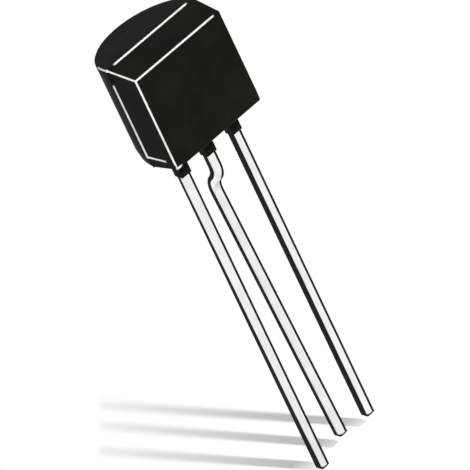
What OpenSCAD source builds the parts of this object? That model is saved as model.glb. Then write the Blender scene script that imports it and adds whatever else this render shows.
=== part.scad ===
// TO-92 transistor: epoxy body moulded round a three-lead frame, with the chip and wires inside.
// Millimetres. +Z runs up the body, -Y is the way the flat face looks, +X is to the right of it.
// Origin: middle lead, parting plane, underside of the body. The leads hang below it.

/* [Body] */
// Width across the body at the parting plane
body_width = 4.35; // [4.3:0.05:4.7]
// Height of the body along the ridge of the parting plane
body_height = 4.3; // [4.2:0.05:4.8]
// Depth from the flat face back to the parting plane
front_depth = 1.45; // [1.3:0.05:1.6]
// How the sides draw in from the parting plane to the flat, degrees
side_draft = 3; // [2:0.5:5]
// Fall of the top and underside from the parting plane to the flat, degrees
front_draft = 7; // [3:0.5:9]
// Fall of the top and underside from the parting plane to the round back, degrees
back_draft = 7; // [3:0.5:9]
// Leg of the bevel on the top edges and all round the flat
edge_bevel = 0.05; // [0.03:0.01:0.1]
// Height of the steep taper at the foot of the sides and the round back
foot_height = 0.48; // [0.35:0.01:0.6]
// How far that taper draws the foot in
foot_inset = 0.07; // [0.03:0.01:0.12]
// How far the parting bead stands proud
bead_height = 0.03; // [0.02:0.005:0.05]
// Half the width of the parting bead at its foot
bead_half_width = 0.045; // [0.03:0.005:0.08]

/* [Resin collars] */
// Length of the resin skin on each lead root, below the body
collar_length = 0.89; // [0.6:0.01:1.2]
// Thickness of that skin
collar_wall = 0.035; // [0.02:0.005:0.05]

/* [Leads] */
// Spacing of the leads, centre to centre
lead_pitch = 1.27; // [1.2:0.01:1.35]
// Width of a lead
lead_width = 0.38; // [0.36:0.01:0.5]
// Thickness of the lead strip
lead_thickness = 0.36; // [0.34:0.01:0.42]
// Radius worn on the long edges of a lead
lead_edge = 0.04; // [0.02:0.01:0.08]
// Length of the right lead below the body
lead_length = 13.64; // [12.7:0.01:15]
// How much longer the left lead was left
left_lead_extra = 0.44; // [0:0.01:0.5]
// How much shorter the middle lead was left
middle_lead_short = 0.03; // [0:0.01:0.5]
// Width of the cut on each of the two corners of a lead tip
tip_corner = 0.12; // [0.04:0.01:0.16]
// Height of that cut
tip_rise = 0.07; // [0.03:0.01:0.15]
// Leg of the bevel on the front and back edges of a lead tip
tip_bevel = 0.06; // [0.02:0.01:0.15]

/* [Jog of the middle lead] */
// Straight run between the collar and the jog
jog_start = 0.55; // [0.3:0.05:1]
// How far back the jog carries the lead
jog_offset = 0.66; // [0.3:0.02:0.8]
// Height the jog takes
jog_drop = 1.3; // [1:0.05:1.6]
// Lean of the long run back towards the row, degrees
jog_return = 3; // [0:0.1:3.5]

/* [Lead frame inside the body] */
// How far a leg's worn edges run up inside the body
leg_root = 0.4; // [0.3:0.05:0.5]
// Width of the pad that carries the chip
pad_width = 1.45; // [1.2:0.05:1.5]
// Height of the pad's lower edge above the underside
pad_foot = 1.15; // [1:0.05:1.3]
// Resin left over the top of the pad
pad_cover = 0.8; // [0.5:0.05:1.2]
// Diameter of the hole that keys the pad into the resin
key_hole = 0.45; // [0.3:0.05:0.6]
// Gap between the pad and the wire post on each outer lead
post_gap = 0.275; // [0.2:0.025:0.35]
// Resin left outside a post
post_cover = 0.355; // [0.25:0.005:0.5]
// Height at which a leg starts to widen into its post
shoulder = 0.65; // [0.5:0.05:0.8]
// Height that the widening takes
shoulder_rise = 0.25; // [0.1:0.05:0.4]
// Height of the post's top above the underside
post_top = 2.4; // [2:0.1:2.8]
// Radius of the keying notch in a post's outer edge
post_notch = 0.2; // [0.12:0.02:0.24]
// Height of that notch above the underside
notch_height = 1.35; // [1.2:0.05:1.6]

/* [Chip and wires] */
// Side of the square chip
die_size = 0.5; // [0.35:0.01:0.6]
// Thickness of the chip
die_thickness = 0.2; // [0.15:0.01:0.25]
// Height of the chip's centre above the pad's lower edge
die_rise = 1.05; // [0.9:0.05:1.15]
// Thickness of the bond under the chip
attach_thickness = 0.03; // [0.02:0.005:0.05]
// How far that bond shows past the chip
attach_margin = 0.05; // [0.03:0.01:0.1]
// Diameter of a bond wire
wire_diameter = 0.05; // [0.04:0.005:0.06]
// Height of a wire's loop over the face of the lead frame
wire_loop = 0.5; // [0.42:0.02:0.7]
// Diameter of the bond at each end of a wire
bond_diameter = 0.12; // [0.1:0.01:0.15]
// Thickness of that bond
bond_height = 0.05; // [0.045:0.005:0.06]
// Distance of a wire's first bond from the middle of the chip
bond_offset = 0.12; // [0.1:0.01:0.15]
// Distance of its second bond in from the post's inner edge
bond_inset = 0.3; // [0.2:0.02:0.4]
// Distance of that bond down from the post's top
bond_drop = 0.42; // [0.2:0.02:0.5]

/* [Hidden] */
// fineness of the drawn curves; the solids come out as true curves
$fn = 96;
// how far each run of the formed lead laps into the next, so that they fuse
lap = 0.0002;
// side of a cutting block, longer than the whole part
block = 40;
// how far a stamped pad or post laps down over its leg
root_lap = 0.1;
// half the body's width, and the radius of its round back
body_r = body_width / 2;
// front faces of the lead strip and of the chip
strip_face = -lead_thickness;
die_face = strip_face - attach_thickness - die_thickness;
// half the flat's width, before its bevels
flat_half = body_r - front_depth * tan(side_draft);
// height of the pad's top and of the chip's centre
pad_top = body_height - pad_cover;
die_height = pad_foot + die_rise;
// inner and outer edge of a post
post_inner = pad_width / 2 + post_gap;
post_outer = body_r - post_cover;
// faces of the front half, each a unit normal and its distance from the origin
flat_plane = [[0, -1, 0], front_depth];
roof_plane = [[0, -sin(front_draft), cos(front_draft)], body_height * cos(front_draft)];
foot_plane = [[0, -sin(front_draft), -cos(front_draft)], 0];
right_plane = [[cos(side_draft), -sin(side_draft), 0], body_r * cos(side_draft)];
left_plane = [[-cos(side_draft), -sin(side_draft), 0], body_r * cos(side_draft)];
// the jog is two equal arcs
jog_radius = (jog_offset * jog_offset + jog_drop * jog_drop) / (4 * jog_offset);
jog_angle = 2 * atan(jog_offset / jog_drop);
// where a bond wire starts on the chip and lands on the post, across and up
wire_from = [bond_offset, die_height];
wire_to = [post_inner + bond_inset, post_top - bond_drop];

// Everything past a plane with this unit normal, at this distance from the origin.
module past(normal, distance) {
  rotate([0, acos(normal.z), atan2(normal.y, normal.x)])
    translate([-block / 2, -block / 2, distance])
      cube(block);
}

// What a bevel takes off the edge between two planes, with a leg along each of them.
module bevel_cut(a, b, leg_a, leg_b) {
  sum = leg_a * a[0] + leg_b * b[0];
  reach = leg_a * a[1] + leg_b * b[1] - leg_a * leg_b * norm(cross(a[0], b[0]));
  past(sum / norm(sum), reach / norm(sum));
}

// Plan of the body: sides that draw in to the flat, and a half-round back.
module body_plan() {
  polygon([
    [-flat_half, -front_depth],
    [flat_half, -front_depth],
    [body_r, 0],
    [-body_r, 0]
  ]);
  intersection() {
    circle(r = body_r);
    translate([-body_r, 0])
      square([body_width, body_r]);
  }
}

// Side view of the body: its top and underside fall both ways from the parting plane.
module body_side() {
  front_fall = front_depth * tan(front_draft);
  back_fall = body_r * tan(back_draft);
  polygon([
    [-front_depth, front_fall],
    [0, 0],
    [body_r, back_fall],
    [body_r, body_height - back_fall],
    [0, body_height],
    [-front_depth, body_height - front_fall]
  ]);
}

// Bevels of the upper rim: along the flat and the sides and, as a tilted cone, round the back.
module rim_cuts() {
  for (face = [flat_plane, right_plane, left_plane])
    bevel_cut(face, roof_plane, edge_bevel, edge_bevel);
  top_r = body_r - edge_bevel;
  difference() {
    translate([-body_width, 0, body_height / 2])
      cube([2 * body_width, body_width, body_height]);
    translate([0, 0, body_height])
      rotate([-back_draft, 0, 0])
        translate([0, 0, -body_height])
          cylinder(h = body_height, r1 = top_r + body_height, r2 = top_r);
  }
}

// Foot of the body: a bevel under the flat, and a steep taper along the sides and, as a cone,
// round the back. The cone runs on for foot_height past the taper's lower and upper ends.
module foot_cuts() {
  ground = [[0, 0, -1], 0];
  bevel_cut(flat_plane, foot_plane, edge_bevel, edge_bevel);
  for (face = [right_plane, left_plane])
    bevel_cut(face, ground, foot_height, foot_inset * cos(side_draft));
  difference() {
    translate([-body_width, 0, -foot_height])
      cube([2 * body_width, body_width, 2.5 * foot_height]);
    translate([0, 0, -foot_height])
      cylinder(h = 3 * foot_height, r1 = body_r - 2 * foot_inset, r2 = body_r + foot_inset);
  }
}

// Bead the mould's parting line leaves: a low ridge with sloped faces, once round the body. The
// sides that it follows are the right half's, each a unit normal and its distance from the origin.
module parting_bead() {
  taper = norm([foot_height, foot_inset]);
  sides = [
    [[1, 0, 0], body_r],
    [[0, 0, 1], body_height],
    [[0, 0, -1], 0],
    [[sqrt(0.5), 0, sqrt(0.5)], (body_r + body_height - edge_bevel) * sqrt(0.5)],
    [[foot_height, 0, -foot_inset] / taper, (body_r - foot_inset) * foot_height / taper]
  ];
  slope = norm([bead_height, bead_half_width]);
  difference() {
    translate([-body_width, -2 * bead_half_width, -body_height / 2])
      cube([2 * body_width, 4 * bead_half_width, 2 * body_height]);
    for (side = sides, across = [-1, 1], way = [-1, 1]) {
      lean = [side[0].x * across * bead_half_width, way * bead_height, side[0].z * bead_half_width];
      past(lean / slope, (side[1] + bead_height) * bead_half_width / slope);
    }
  }
}

// Resin skin round one lead root.
module collar() {
  translate([-lead_width / 2 - collar_wall, -lead_thickness - collar_wall, -collar_length])
    cube([
      lead_width + 2 * collar_wall,
      lead_thickness + 2 * collar_wall,
      collar_length + leg_root
    ]);
}

// Section of a lead across X and Y, its long edges slightly rounded.
module lead_section() {
  half_w = lead_width / 2 - lead_edge;
  half_t = lead_thickness / 2 - lead_edge;
  square([lead_width, 2 * half_t], center = true);
  square([2 * half_w, lead_thickness], center = true);
  for (x = [-half_w, half_w], y = [-half_t, half_t])
    translate([x, y])
      circle(r = lead_edge);
}

// Straight run of lead, hanging down from the origin.
module lead_run(length) {
  translate([0, 0, -length - lap])
    linear_extrude(height = length + 2 * lap)
      lead_section();
}

// The last run of a lead, down to its cropped tip.
module lead_end(length) {
  tip = [[0, 0, -1], length];
  difference() {
    lead_run(length);
    past(tip[0], length);
    for (way = [-1, 1]) {
      bevel_cut([[way, 0, 0], lead_width / 2], tip, tip_rise, tip_corner);
      bevel_cut([[0, way, 0], lead_thickness / 2], tip, tip_bevel, tip_bevel);
    }
  }
}

// A bend that turns a hanging lead back, towards +Y.
module lead_bend(angle) {
  translate([0, jog_radius, 0])
    rotate([0, 90, 0])
      rotate([0, 0, -90])
        rotate_extrude(angle = angle)
          translate([jog_radius, 0])
            rotate([0, 0, 90])
              lead_section();
}

// A shape drawn in X and Z, cut from the lead strip.
module stamped() {
  rotate([90, 0, 0])
    linear_extrude(height = lead_thickness)
      children();
}

// An outer lead on the +X side: a straight leg, and the post its wire lands on.
module outer_lead(length) {
  inner = lead_pitch - lead_width / 2;
  outer = lead_pitch + lead_width / 2;
  translate([lead_pitch, -lead_thickness / 2, leg_root])
    lead_end(length + leg_root);
  stamped()
    difference() {
      polygon([
        [inner, leg_root - root_lap],
        [outer, leg_root - root_lap],
        [outer, shoulder],
        [post_outer, shoulder + shoulder_rise],
        [post_outer, post_top],
        [post_inner, post_top],
        [post_inner, shoulder + shoulder_rise],
        [inner, shoulder]
      ]);
      translate([post_outer, notch_height])
        circle(r = post_notch);
    }
}

// The pad and neck of the middle lead, with its keying hole.
module chip_pad() {
  stamped()
    difference() {
      union() {
        translate([-pad_width / 2, pad_foot])
          square([pad_width, pad_top - pad_foot]);
        translate([-lead_width / 2, leg_root - root_lap])
          square([lead_width, pad_foot]);
      }
      translate([0, pad_top - key_hole])
        circle(d = key_hole);
    }
}

// The formed leg of the middle lead: down, back through the jog, then down to the row again.
module formed_leg() {
  turn_back = jog_angle + jog_return;
  mid_y = jog_radius * (1 - cos(jog_angle));
  mid_z = jog_radius * sin(jog_angle);
  out_y = -jog_radius * (1 - cos(turn_back));
  out_z = -jog_radius * sin(turn_back);
  drop = mid_z - out_y * sin(jog_angle) - out_z * cos(jog_angle);
  above = collar_length + jog_start + drop;
  last = (lead_length - middle_lead_short - above) / cos(jog_return);
  translate([0, -lead_thickness / 2, leg_root])
    lead_run(leg_root + collar_length + jog_start);
  translate([0, -lead_thickness / 2, -collar_length - jog_start]) {
    lead_bend(jog_angle);
    translate([0, mid_y, -mid_z])
      rotate([jog_angle, 0, 0]) {
        lead_run(0);
        mirror([0, 1, 0])
          lead_bend(turn_back);
        translate([0, out_y, out_z])
          rotate([-turn_back, 0, 0])
            lead_end(last);
      }
  }
}

// A bond wire on the +X side, from the chip to the post, with the bond at each end. It is one arc
// whose top stands wire_loop over the lead frame's face. X runs from the first bond to the second
// and Y out of the face; the arc leaves at x = 0, as high as the chip's face, and lands at x = span.
module wire_to_right() {
  step = wire_to - wire_from;
  span = norm(step);
  rise = strip_face - die_face;
  root = (span * sqrt(wire_loop) - sqrt((wire_loop - rise) * (span * span + rise * rise))) / rise;
  centre_y = (wire_loop - root * root) / 2;
  radius = wire_loop - centre_y;
  centre_x = sqrt((wire_loop - rise) * (wire_loop + rise - 2 * centre_y));
  first = 180 - asin((rise + bond_height / 2 - centre_y) / radius);
  last = asin((bond_height / 2 - centre_y) / radius);
  translate([wire_from.x, strip_face, wire_from.y])
    rotate([0, -atan2(step.y, step.x), 0])
      rotate([180, 0, 0]) {
        translate([centre_x, centre_y, 0])
          rotate([0, 0, last])
            rotate_extrude(angle = first - last)
              translate([radius, 0])
                circle(d = wire_diameter);
        translate([centre_x + radius * cos(first), rise, 0])
          rotate([-90, 0, 0])
            cylinder(h = bond_height, d = bond_diameter);
        translate([centre_x + radius * cos(last), 0, 0])
          rotate([-90, 0, 0])
            cylinder(h = bond_height, d = bond_diameter);
      }
}

module left_lead() {
  color("#d4d6d6")
    mirror([1, 0, 0])
      outer_lead(lead_length + left_lead_extra);
}

module right_lead() {
  color("#d4d6d6")
    outer_lead(lead_length);
}

module middle_lead() {
  color("#d4d6d6") {
    chip_pad();
    formed_leg();
  }
}

module die_attach() {
  side = die_size + 2 * attach_margin;
  color("#b9b6ac")
    translate([-side / 2, strip_face - attach_thickness, die_height - side / 2])
      cube([side, attach_thickness, side]);
}

module silicon_die() {
  color("#5c6270")
    translate([-die_size / 2, die_face, die_height - die_size / 2])
      cube([die_size, die_thickness, die_size]);
}

module right_bond_wire() {
  color("#d8b258")
    wire_to_right();
}

module left_bond_wire() {
  color("#d8b258")
    mirror([1, 0, 0])
      wire_to_right();
}

// The body is cast round the frame, the chip and the wires, and fills all the space between them.
module moulded_body() {
  color("#1c1d18")
    difference() {
      union() {
        difference() {
          intersection() {
            linear_extrude(height = body_height)
              body_plan();
            rotate([90, 0, 90])
              linear_extrude(height = 2 * body_width, center = true)
                body_side();
          }
          bevel_cut(flat_plane, right_plane, edge_bevel, edge_bevel);
          bevel_cut(flat_plane, left_plane, edge_bevel, edge_bevel);
          rim_cuts();
          foot_cuts();
        }
        parting_bead();
        for (x = [-lead_pitch, 0, lead_pitch])
          translate([x, 0, 0])
            collar();
      }
      left_lead();
      middle_lead();
      right_lead();
      die_attach();
      silicon_die();
      left_bond_wire();
      right_bond_wire();
    }
}

moulded_body();
left_lead();
middle_lead();
right_lead();
die_attach();
silicon_die();
left_bond_wire();
right_bond_wire();
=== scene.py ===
"""TO-92 transistor standing on a white card: its finishes, the light and the camera.

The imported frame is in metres. Sizes here are written in millimetres and pass through MM.
"""

import bpy
import numpy as np
from mathutils import Matrix, Vector


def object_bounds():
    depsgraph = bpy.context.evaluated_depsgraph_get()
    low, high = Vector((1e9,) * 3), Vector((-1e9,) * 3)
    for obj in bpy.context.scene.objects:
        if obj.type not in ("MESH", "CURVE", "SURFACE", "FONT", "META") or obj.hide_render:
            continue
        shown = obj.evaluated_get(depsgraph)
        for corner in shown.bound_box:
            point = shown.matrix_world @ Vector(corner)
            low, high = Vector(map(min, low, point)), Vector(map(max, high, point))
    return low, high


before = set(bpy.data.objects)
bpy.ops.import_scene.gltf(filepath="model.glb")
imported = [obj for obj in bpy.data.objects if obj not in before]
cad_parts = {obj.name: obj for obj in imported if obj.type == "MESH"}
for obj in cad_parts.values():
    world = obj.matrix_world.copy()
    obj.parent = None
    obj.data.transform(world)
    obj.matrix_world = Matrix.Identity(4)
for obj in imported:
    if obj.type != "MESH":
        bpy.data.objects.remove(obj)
cad_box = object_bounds()

MM = 0.001
IMAGE = 470  # pixels along each side of the image

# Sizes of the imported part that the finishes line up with, in millimetres and degrees.
BODY_RADIUS = 2.175
BODY_HEIGHT = 4.3
FRONT_DEPTH = 1.45
SIDE_DRAFT = 3.0
ROOF_DRAFT = 7.0
FOOT_HEIGHT = 0.48
LEAD_PITCH = 1.27
LEAD_WIDTH = 0.38
LEAD_THICKNESS = 0.36
TIP_CORNER = 0.12
TIP_RISE = 0.07
LEFT_TIP = -14.08
MIDDLE_TIP = -13.61
RIGHT_TIP = -13.64
# The middle lead's jog: where it starts, how far back and down it goes, and its lean after it.
JOG_START = -1.44
JOG_OFFSET = 0.66
JOG_DROP = 1.3
JOG_LEAN = 3.0

# Tarnish on the leads, in millimetres: oxide, and on the broken parts of the sides painted shade as
# well. The broken part of the right side is RIGHT_FRACTURE deep, and that of both sides comes
# BACK_WRAP round onto the back face. The burr is BURR_WIDTH wide on the front face and comes
# BURR_WRAP round onto the side. The tip is dark for TIP_BAND at its end.
RIGHT_FRACTURE = 0.11
BACK_WRAP = 0.04
BURR_WIDTH = 0.114
BURR_WRAP = 0.07
TIP_BAND = 0.115
# Over what distance it fades: across a lead and up its tip, and from front to back.
ACROSS_FADE = 0.015
DEPTH_FADE = 0.02
# Where the jog leans the most, the dark marks change: the burr's dark strip is drawn wider, and
# less of the left side's broken part is painted dark. Each is a height, its reach up and down, and
# a width.
BURR_DRAG = (-2.1, 0.5, 0.06)
SIDE_SHADE_GAP = (-2.15, 0.65, 0.11)


def linear(code):
    """sRGB hex as linear RGBA: each channel c is c / 12.92 up to 0.04045, and
    ((c + 0.055) / 1.055) ** 2.4 above it."""
    channels = [int(code[i : i + 2], 16) / 255 for i in (1, 3, 5)]
    return [c / 12.92 if c <= 0.04045 else ((c + 0.055) / 1.055) ** 2.4 for c in channels] + [1.0]


def add(tree, kind, inputs, out=0, **settings):
    """Adds one shader node, sets its settings and fills its inputs, each a value or a socket to
    link from. Returns its output.

    Sockets that share a name go by number. A Mix has its factor at 0, its two numbers at 2 and 3,
    its two colours at 6 and 7, and its outputs, the number at 0 and the colour at 2. A MapRange
    takes input 0 from the range of inputs 1 and 2 into that of 3 and 4, which is 0 to 1 unless
    they are given. A VectorMath gives a number at output 1."""
    node = tree.nodes.new("ShaderNode" + kind)
    for name, value in settings.items():
        setattr(node, name, value)
    for key, value in inputs.items():
        if isinstance(value, bpy.types.NodeSocket):
            tree.links.new(value, node.inputs[key])
        else:
            node.inputs[key].default_value = value
    return node.outputs[out]


def start_material(name):
    """An empty material and its node tree."""
    material = bpy.data.materials.new(name)
    material.use_nodes = True
    material.node_tree.nodes.clear()
    return material, material.node_tree


def find_place(tree):
    """A point of the piece in metres, and its x, y and z in millimetres."""
    place = add(tree, "TexCoord", {}, "Object")
    scaled = add(tree, "VectorMath", {0: place, "Scale": 1 / MM}, operation="SCALE")
    return place, *add(tree, "SeparateXYZ", {0: scaled}, slice(None))


# ---------------------------------------------------------------- finishes


def rubbed_edges_and_highlights(tree, x, y, z):
    """Where the moulding is worn pale, and where edge highlights are painted as pale lines,
    from 0 to 1, for a point x, y, z in millimetres. A point is on an edge when it is near both
    faces that meet there, and a parting line is near y = 0."""
    slope = float(np.tan(np.radians(SIDE_DRAFT)))
    fall = float(np.tan(np.radians(ROOF_DRAFT)))
    across = add(tree, "Math", {0: x}, operation="ABSOLUTE")
    parting = add(tree, "Math", {0: y}, operation="ABSOLUTE")
    # below the flat: y + depth
    flat = add(tree, "Math", {0: y, 1: FRONT_DEPTH}, operation="ADD")
    # inside the wall: radius + slope * min(y, 0) - length of (x, max(y, 0))
    behind = add(tree, "Math", {0: y, 1: 0.0}, operation="MAXIMUM")
    ahead = add(tree, "Math", {0: y, 1: 0.0}, operation="MINIMUM")
    level = add(tree, "CombineXYZ", {0: x, 1: behind})
    reach = add(tree, "VectorMath", {0: level}, 1, operation="LENGTH")
    width = add(tree, "Math", {0: ahead, 1: slope, 2: BODY_RADIUS}, operation="MULTIPLY_ADD")
    wall = add(tree, "Math", {0: width, 1: reach}, operation="SUBTRACT")
    # under the roof: height - z - fall * |y|; over the underside: z - fall * |y|
    drop = add(tree, "Math", {0: parting, 1: fall}, operation="MULTIPLY")
    high = add(tree, "Math", {0: z, 1: drop}, operation="ADD")
    roof = add(tree, "Math", {0: BODY_HEIGHT, 1: high}, operation="SUBTRACT")
    foot = add(tree, "Math", {0: z, 1: drop}, operation="SUBTRACT")
    # how far from the top of the taper at the foot
    crease = add(tree, "Math", {0: z, 1: FOOT_HEIGHT}, operation="SUBTRACT")
    crease = add(tree, "Math", {0: crease}, operation="ABSOLUTE")
    # the left wall alone: the right one gets a pale line, worn and painted highlight, only along
    # its parting line and crease
    right_side = add(tree, "Math", {0: x, 1: 0.0}, operation="GREATER_THAN")
    left_wall = add(tree, "Math", {0: wall, 1: right_side}, operation="ADD")
    # each pale line is part wear and part painted highlight
    # each line: two distances, half its width, and the stretch of one axis that it stays in, where
    # past is outside the body, so that the line has no end there
    past = 9.0
    lines = (
        (flat, roof, 0.042, x, -past, 1.8),  # top of the flat
        (left_wall, roof, 0.042, y, -past, 0.7),  # left rim of the roof
        (flat, left_wall, 0.045, z, -past, past),  # left edge of the flat
        (parting, roof, 0.055, across, -past, 1.8),  # parting line over the roof
        (parting, wall, 0.055, z, FOOT_HEIGHT, 3.65),  # parting line down both sides
        (crease, wall, 0.04, y, -0.98, 0.03),  # crease above the foot
        (flat, foot, 0.1, x, -past, -1.86),  # lower left corner of the flat
    )
    # a line fades across from inside its half width to outside it, and at its ends over twice end
    inside, outside, end = 0.004, 0.012, 0.05
    wear_and_highlight = 0.0
    for first, second, half, along, low, high in lines:
        apart = add(tree, "Math", {0: first, 1: second}, operation="MAXIMUM")
        near = add(tree, "MapRange", {0: apart, 1: half + outside, 2: half - inside})
        begun = add(tree, "MapRange", {0: along, 1: low - end, 2: low + end})
        ended = add(tree, "MapRange", {0: along, 1: high + end, 2: high - end})
        line = add(tree, "Math", {0: near, 1: begun}, operation="MULTIPLY")
        line = add(tree, "Math", {0: line, 1: ended}, operation="MULTIPLY")
        wear_and_highlight = add(tree, "Math", {0: wear_and_highlight, 1: line}, operation="MAXIMUM")
    return wear_and_highlight


def epoxy_moulded():
    """Black epoxy moulding compound, filled with silica and moulded in a spark-eroded cavity: a
    near-black, nearly matt face with a fine even grain, and pale lines along its corners and the
    parting line, partly worn down to the filler and partly painted highlights."""
    material, tree = start_material("epoxy_moulded_spark_eroded")
    place, x, y, z = find_place(tree)
    edge_wear_and_highlights = rubbed_edges_and_highlights(tree, x, y, z)
    # the pale lines, wear and painted highlight, come and go along an edge over about 0.4 mm
    patches = add(tree, "TexNoise", {"Vector": place, "Scale": 1 / (0.4 * MM), "Detail": 4.0})
    patches = add(tree, "MapRange", {0: patches, 1: 0.3, 2: 0.55, 3: 0.75, 4: 1.0})
    wear_and_highlight = add(tree, "Math", {0: edge_wear_and_highlights, 1: patches}, operation="MULTIPLY")
    # flow of the resin, clouds 1.6 mm across
    cloud = add(tree, "TexNoise", {"Vector": place, "Scale": 1 / (1.6 * MM), "Detail": 3.0})
    cloud = add(tree, "MapRange", {0: cloud, 1: 0.35, 2: 0.7})
    resin = add(
        tree, "Mix", {0: cloud, 6: linear("#141510"), 7: linear("#1A1B14")}, 2, data_type="RGBA"
    )
    # grains of silica are under 0.05 mm: drawn at 0.07 mm, as coarse as they need to be to show
    fleck = add(tree, "TexNoise", {"Vector": place, "Scale": 1 / (0.07 * MM), "Detail": 2.0})
    fleck = add(tree, "MapRange", {0: fleck, 1: 0.6, 2: 0.8, 3: 0.0, 4: 0.4})
    resin = add(tree, "Mix", {0: fleck, 6: resin, 7: linear("#2E2F2A")}, 2, data_type="RGBA")
    # pale lines: worn corners with painted highlights on them
    resin = add(tree, "Mix", {0: wear_and_highlight, 6: resin, 7: linear("#F0F0EC")}, 2, data_type="RGBA")
    # spark erosion leaves pits of about 0.03 mm: drawn at 0.06 mm so that they show
    pits = add(tree, "TexNoise", {"Vector": place, "Scale": 1 / (0.06 * MM), "Detail": 3.0})
    relief = add(tree, "Bump", {"Strength": 0.3, "Distance": 0.004 * MM, "Height": pits})
    sheen = add(tree, "TexNoise", {"Vector": place, "Scale": 1 / (0.5 * MM), "Detail": 4.0})
    sheen = add(tree, "MapRange", {0: sheen, 1: 0.3, 2: 0.7, 3: 0.42, 4: 0.54})
    shader = add(
        tree,
        "BsdfPrincipled",
        {
            "Base Color": resin,
            "Roughness": sheen,
            "IOR": 1.5,
            "Specular IOR Level": 0.012,
            "Normal": relief,
        },
    )
    add(tree, "OutputMaterial", {0: shader}, slice(None))
    return material


def depth_in_strip(tree, y, z, formed):
    """How far a point y, z lies in front of the back face of its lead, in millimetres. A straight
    lead's back face is y = 0. The formed lead's follows two arcs of radius r to the middle of the
    strip: round the first centre, which is behind it, a point's depth is its distance from the
    centre less r - t / 2, and round the second, in front, it is r + t / 2 less that distance. Past
    the outer end of either arc the distance is square to the straight run there."""
    if not formed:
        return add(tree, "Math", {0: 0.0, 1: y}, operation="SUBTRACT")
    half = LEAD_THICKNESS / 2
    radius = (JOG_OFFSET**2 + JOG_DROP**2) / (4 * JOG_OFFSET)
    first = np.array([radius - half, JOG_START])
    second = np.array([JOG_OFFSET - radius - half, JOG_START - JOG_DROP])
    lean = np.radians(JOG_LEAN)
    # for each arc: its centre, the way out to the strip, and the way on along its straight run
    ends = (
        (first, np.array([-1.0, 0.0]), np.array([0.0, 1.0])),
        (second, np.array([np.cos(lean), -np.sin(lean)]), np.array([-np.sin(lean), -np.cos(lean)])),
    )
    point = add(tree, "CombineXYZ", {0: y, 1: z})
    away = []
    for centre, out, onward in ends:
        arm = add(tree, "VectorMath", {0: point, 1: (*centre, 0.0)}, operation="SUBTRACT")
        square = add(tree, "VectorMath", {0: arm, 1: (*out, 0.0)}, 1, operation="DOT_PRODUCT")
        along = add(tree, "VectorMath", {0: arm, 1: (*onward, 0.0)}, 1, operation="DOT_PRODUCT")
        along = add(tree, "Math", {0: along, 1: 0.0}, operation="MINIMUM")
        both = add(tree, "CombineXYZ", {0: square, 1: along})
        away.append(add(tree, "VectorMath", {0: both}, 1, operation="LENGTH"))
    upper = add(tree, "Math", {0: away[0], 1: radius - half}, operation="SUBTRACT")
    lower = add(tree, "Math", {0: radius + half, 1: away[1]}, operation="SUBTRACT")
    # the two arcs meet on the line between their centres
    between = second - first
    turned = (float(-between[1]), float(between[0]), 0.0)
    from_first = add(tree, "VectorMath", {0: point, 1: (*first, 0.0)}, operation="SUBTRACT")
    side = add(tree, "VectorMath", {0: from_first, 1: turned}, 1, operation="DOT_PRODUCT")
    past = add(tree, "Math", {0: side, 1: 0.0}, operation="GREATER_THAN")
    return add(tree, "Mix", {0: past, 2: upper, 3: lower}, data_type="FLOAT")


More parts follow.
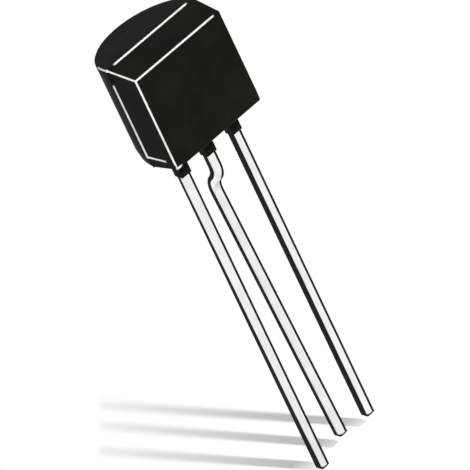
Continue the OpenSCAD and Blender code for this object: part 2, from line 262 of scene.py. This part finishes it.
def tin_plated(name, middle, tip, root_fracture, tip_fracture, formed):
    """Matt tin plate on stamped copper strip: white metal with a soft gloss that follows the
    rolling streaks along the lead. The die sheared part of each side and broke the rest: the
    broken part, the burr on the front right corner and the cropped tip are dark with oxide, and the
    broken side faces carry painted shade as well.

    middle is the lead's x and tip its lowest z. The broken part of the left side is root_fracture
    deep at the root and tip_fracture at the tip. formed is true for the lead with the jog."""
    material, tree = start_material(name)
    place, x, y, z = find_place(tree)
    # rolling leaves streaks 0.03 mm wide and about 1 mm long: the pattern is drawn out along z
    long_way = add(tree, "Mapping", {"Vector": place, "Scale": (1.0, 0.1, 0.03)})
    streaks = add(tree, "TexNoise", {"Vector": long_way, "Scale": 1 / (0.03 * MM), "Detail": 3.0})
    cloud = add(tree, "TexNoise", {"Vector": place, "Scale": 1 / (0.8 * MM), "Detail": 4.0})
    cloud = add(tree, "MapRange", {0: cloud, 1: 0.35, 2: 0.7})
    metal = add(
        tree, "Mix", {0: cloud, 6: linear("#FCFCFA"), 7: linear("#F0F0ED")}, 2, data_type="RGBA"
    )
    # the edge of the tarnish wanders by 0.01 mm
    wander = add(tree, "Math", {0: streaks, 1: 0.02, 2: -0.01}, operation="MULTIPLY_ADD")
    across = add(tree, "Math", {0: x, 1: middle}, operation="SUBTRACT")
    across = add(tree, "Math", {0: across, 1: wander}, operation="ADD")
    side = add(tree, "Math", {0: across}, operation="ABSOLUTE")
    half = LEAD_WIDTH / 2
    deep = depth_in_strip(tree, y, z, formed)
    deep = add(tree, "Math", {0: deep, 1: wander}, operation="ADD")
    # the burr: a strip of the front face beside its right edge, round to the side
    wrap = LEAD_THICKNESS - BURR_WRAP
    front = add(tree, "MapRange", {0: deep, 1: wrap, 2: wrap + DEPTH_FADE})
    inner = across
    # how deep the broken part of the left side is, from the root down to the tip
    limit = add(tree, "MapRange", {0: z, 1: 0.0, 2: tip, 3: root_fracture, 4: tip_fracture})
    if formed:
        marks = []
        for height, reach, width in (BURR_DRAG, SIDE_SHADE_GAP):
            away = add(tree, "Math", {0: z, 1: height}, operation="SUBTRACT")
            away = add(tree, "Math", {0: away}, operation="ABSOLUTE")
            span = {0: away, 1: reach, 2: 0.0, 3: 0.0, 4: width}
            marks.append(add(tree, "MapRange", span, interpolation_type="SMOOTHSTEP"))
        drag, shade_gap = marks
        inner = add(tree, "Math", {0: across, 1: drag}, operation="ADD")
        limit = add(tree, "Math", {0: limit, 1: shade_gap}, operation="SUBTRACT")
    edge = half - BURR_WIDTH
    burr = add(tree, "MapRange", {0: inner, 1: edge, 2: edge + ACROSS_FADE})
    burr = add(tree, "Math", {0: burr, 1: front}, operation="MULTIPLY")
    right = add(tree, "Math", {0: across, 1: 0.0}, operation="GREATER_THAN")
    limit = add(tree, "Mix", {0: right, 2: limit, 3: RIGHT_FRACTURE}, data_type="FLOAT")
    deep = add(tree, "Math", {0: deep, 1: limit}, operation="SUBTRACT")
    # the broken part of each side, painted dark: oxide and painted shade
    broken = add(tree, "MapRange", {0: deep, 1: DEPTH_FADE / 2, 2: -DEPTH_FADE / 2})
    edge = half - BACK_WRAP
    outer = add(tree, "MapRange", {0: side, 1: edge, 2: edge + ACROSS_FADE})
    broken = add(tree, "Math", {0: outer, 1: broken}, operation="MULTIPLY")
    # above the tip's end, and above the line that cuts each of its corners
    above = add(tree, "Math", {0: z, 1: -tip}, operation="ADD")
    cut = add(tree, "Math", {0: side, 1: half - TIP_CORNER}, operation="SUBTRACT")
    cut = add(tree, "Math", {0: cut, 1: -TIP_RISE / TIP_CORNER, 2: above}, operation="MULTIPLY_ADD")
    cropped = add(tree, "Math", {0: above, 1: cut}, operation="MINIMUM")
    cropped = add(tree, "MapRange", {0: cropped, 1: TIP_BAND, 2: TIP_BAND - ACROSS_FADE})
    # the dark marks: oxide, and painted shade on the broken parts of the sides
    tarnish_and_shade = add(tree, "Math", {0: broken, 1: burr}, operation="MAXIMUM")
    tarnish_and_shade = add(tree, "Math", {0: tarnish_and_shade, 1: cropped}, operation="MAXIMUM")
    metal = add(tree, "Mix", {0: tarnish_and_shade, 6: metal, 7: linear("#161614")}, 2, data_type="RGBA")
    gloss = add(tree, "MapRange", {0: streaks, 1: 0.3, 2: 0.7, 3: 0.36, 4: 0.46})
    dull = add(tree, "Math", {0: tarnish_and_shade, 1: 0.25, 2: gloss}, operation="MULTIPLY_ADD")
    # the dark oxide, and the painted shade with it, have none of the metal's shine
    clean = add(tree, "Math", {0: 1.0, 1: tarnish_and_shade}, operation="SUBTRACT")
    relief = add(tree, "Bump", {"Strength": 0.2, "Distance": 0.002 * MM, "Height": streaks})
    shader = add(
        tree,
        "BsdfPrincipled",
        {
            "Base Color": metal,
            "Metallic": clean,
            "Roughness": dull,
            "Specular IOR Level": 0.05,
            "Normal": relief,
        },
    )
    add(tree, "OutputMaterial", {0: shader}, slice(None))
    return material


def clouded_metal(name, light, dark, roughness, size):
    """A metal sealed in the resin, clouded between two colours in patches of size millimetres."""
    material, tree = start_material(name)
    place = add(tree, "TexCoord", {}, "Object")
    cloud = add(tree, "TexNoise", {"Vector": place, "Scale": 1 / (size * MM), "Detail": 2.0})
    colour = add(tree, "Mix", {0: cloud, 6: linear(light), 7: linear(dark)}, 2, data_type="RGBA")
    rough = add(tree, "MapRange", {0: cloud, 1: 0.3, 2: 0.7, 3: roughness, 4: roughness + 0.12})
    shader = add(
        tree, "BsdfPrincipled", {"Base Color": colour, "Metallic": 1.0, "Roughness": rough}
    )
    add(tree, "OutputMaterial", {0: shader}, slice(None))
    return material


def finish_nodes():
    """Gives each CAD node the material of its real piece."""
    # gold drawn through a diamond die: smooth, a warm yellow
    gold = clouded_metal("gold_drawn_wire", "#F0C25A", "#DCA640", 0.12, 0.05)
    finishes = {
        "moulded_body": epoxy_moulded(),
        "left_lead": tin_plated("tin_plated_left", -LEAD_PITCH, LEFT_TIP, 0.18, 0.37, False),
        "middle_lead": tin_plated("tin_plated_middle", 0.0, MIDDLE_TIP, 0.285, 0.27, True),
        "right_lead": tin_plated("tin_plated_right", LEAD_PITCH, RIGHT_TIP, 0.4, 0.38, False),
        # epoxy filled with silver flake: pale and matt
        "die_attach": clouded_metal("silver_epoxy_cured", "#D2CFC6", "#ABA89E", 0.45, 0.03),
        # silicon sawn from a polished wafer: slate grey, close to a mirror
        "silicon_die": clouded_metal("silicon_sawn_polished", "#5A6070", "#464B58", 0.1, 0.02),
        "left_bond_wire": gold,
        "right_bond_wire": gold,
    }
    for name, material in finishes.items():
        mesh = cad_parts[name].data
        mesh.materials.clear()
        mesh.materials.append(material)


# ---------------------------------------------------------------- card, light and camera

# Where the camera stands, in degrees: round from the flat, up from level, and its lean.
AZIMUTH = -28.26
ELEVATION = 30.09
ROLL = -25.48
PIXELS_PER_MM = 28.675
ORIGIN_PIXEL = (195.47, 130.68)  # where the part's origin falls in the image
CAMERA_DISTANCE = 600.0  # millimetres
SENSOR = 36.0  # millimetres
# Direction of the leads' shadows over the card, and their length for each length of lead.
SHADOW_AZIMUTH = 104.0
SHADOW_STRETCH = 1.2
# Where the shadows fade into the card's white. They begin softly at the lead row, from one y to
# another in millimetres. To the image's left they fade slowly and then end: from one column to
# another, and how much is lost by then.
SHADOW_START = (-0.4, 1.1)
SHADOW_FADES = ((290, 94, 0.72), (115, 93, 1.0))
CARD_HALF = 90.0  # half of each side, in millimetres
CARD_LIFT = 0.08  # the card's own light, which brings its lit part up to white
ROOM_LEVEL = 0.36  # how bright the room is as a lamp
# Each lamp: its strength, and how many degrees across it looks.
KEY_LAMP = (2.6, 2.0)
FILL_LAMP = (1.2, 60.0)


def camera_axes():
    """The camera's right, up and back axes in the part's frame. Back is
    (sin a cos e, -cos a cos e, sin e); right and up are level and square to it, then rolled."""
    a, e, roll = np.radians([AZIMUTH, ELEVATION, ROLL])
    back = np.array([np.sin(a) * np.cos(e), -np.cos(a) * np.cos(e), np.sin(e)])
    level = np.array([np.cos(a), np.sin(a), 0.0])
    upright = np.cross(back, level)
    right = level * np.cos(roll) + upright * np.sin(roll)
    return right, np.cross(back, right), back


def lay_card(floor_z, right):
    """A level white card under the longest lead. Its white takes over from the shadows on it by
    degrees, towards the front of the lead row and towards the image's left."""
    half = CARD_HALF * MM
    signs = ((-1, -1), (1, -1), (1, 1), (-1, 1))
    corners = [(x * half, y * half, floor_z) for x, y in signs]
    mesh = bpy.data.meshes.new("white_card")
    mesh.from_pydata(corners, [], [(0, 1, 2, 3)])
    card = bpy.data.objects.new("white_card", mesh)
    bpy.context.scene.collection.objects.link(card)
    material, tree = start_material("card_white_matt")
    place = add(tree, "TexCoord", {}, "Object")
    # how far a point of the card lies along +Y and along the image's right, in millimetres
    behind = add(tree, "VectorMath", {0: place, 1: (0, 1 / MM, 0)}, 1, operation="DOT_PRODUCT")
    along = add(tree, "VectorMath", {0: place, 1: tuple(right / MM)}, 1, operation="DOT_PRODUCT")
    fade = add(tree, "MapRange", {0: behind, 1: SHADOW_START[1], 2: SHADOW_START[0]})
    for first, last, most in SHADOW_FADES:
        first, last = [(column - ORIGIN_PIXEL[0]) / PIXELS_PER_MM for column in (first, last)]
        part = add(tree, "MapRange", {0: along, 1: first, 2: last, 3: 0.0, 4: most})
        fade = add(tree, "Math", {0: fade, 1: part}, operation="MAXIMUM")
    plain = add(tree, "BsdfDiffuse", {"Color": linear("#F8F8F8")})
    lift = add(tree, "Emission", {"Color": linear("#FFFFFF"), "Strength": CARD_LIFT})
    white = add(tree, "Emission", {"Color": linear("#FFFFFF"), "Strength": 1.0})
    lit = add(tree, "AddShader", {0: plain, 1: lift})
    seen = add(tree, "MixShader", {0: fade, 1: lit, 2: white})
    camera = add(tree, "LightPath", {}, "Is Camera Ray")
    gloss = add(tree, "LightPath", {}, "Is Glossy Ray")
    shows = add(tree, "Math", {0: camera, 1: gloss}, operation="MAXIMUM")
    surface = add(tree, "MixShader", {0: shows, 1: plain, 2: seen})
    add(tree, "OutputMaterial", {0: surface}, slice(None))
    mesh.materials.append(material)


def light_room():
    """A white room: full white where the camera, gloss and glass see it, dimmer as a lamp."""
    world = bpy.data.worlds.new("white_room")
    bpy.context.scene.world = world
    world.use_nodes = True
    tree = world.node_tree
    tree.nodes.clear()
    camera = add(tree, "LightPath", {}, "Is Camera Ray")
    gloss = add(tree, "LightPath", {}, "Is Glossy Ray")
    glass = add(tree, "LightPath", {}, "Is Transmission Ray")
    sees = add(tree, "Math", {0: camera, 1: gloss}, operation="MAXIMUM")
    sees = add(tree, "Math", {0: sees, 1: glass}, operation="MAXIMUM")
    strength = add(tree, "MapRange", {0: sees, 3: ROOM_LEVEL, 4: 1.0})
    room = add(tree, "Background", {"Color": linear("#FFFFFF"), "Strength": strength})
    add(tree, "OutputWorld", {0: room}, slice(None))


def hang_lamp(name, towards, strength, across):
    """A far lamp in the direction towards, across degrees wide. It gives no highlight, so the
    metal's white is that of the room it reflects."""
    lamp = bpy.data.lights.new(name, "SUN")
    lamp.energy = strength
    lamp.angle = np.radians(across)
    stand = bpy.data.objects.new(name, lamp)
    stand.rotation_mode = "QUATERNION"
    stand.rotation_quaternion = Vector(towards).to_track_quat("Z", "Y")
    stand.visible_glossy = False
    bpy.context.scene.collection.objects.link(stand)
    return lamp


def light_object():
    """The key lamp hangs where a lead's shadow runs along SHADOW_AZIMUTH and is SHADOW_STRETCH
    times as long as the lead. A broad fill lamp, low on the left, lifts the side turned from the
    key and casts no shadow."""
    turn = np.radians(SHADOW_AZIMUTH)
    run = Vector((np.cos(turn), np.sin(turn), 0.0)) * SHADOW_STRETCH
    hang_lamp("key_lamp", Vector((0, 0, 1)) - run, *KEY_LAMP)
    low_left = (-1.0, -0.1, 0.25)
    fill = hang_lamp("fill_lamp", low_left, *FILL_LAMP)
    fill.use_shadow = False


def place_camera(right, up, back):
    """A very long lens, so that parallel edges stay parallel."""
    middle = (IMAGE - 1) / 2
    aim = right * (middle - ORIGIN_PIXEL[0]) - up * (middle - ORIGIN_PIXEL[1])
    eye = (aim / PIXELS_PER_MM + back * CAMERA_DISTANCE) * MM
    data = bpy.data.cameras.new("camera")
    data.sensor_width = SENSOR
    data.lens = SENSOR * CAMERA_DISTANCE * PIXELS_PER_MM / IMAGE
    data.clip_start = 0.01
    data.clip_end = 10.0
    camera = bpy.data.objects.new("camera", data)
    turn = Matrix((right, up, back)).transposed().to_4x4()
    camera.matrix_world = Matrix.Translation(Vector(eye)) @ turn
    bpy.context.scene.collection.objects.link(camera)
    bpy.context.scene.camera = camera


finish_nodes()
axes = camera_axes()
lay_card(cad_box[0].z, axes[0])
light_room()
light_object()
place_camera(*axes)
bpy.context.scene.view_settings.view_transform = "Standard"
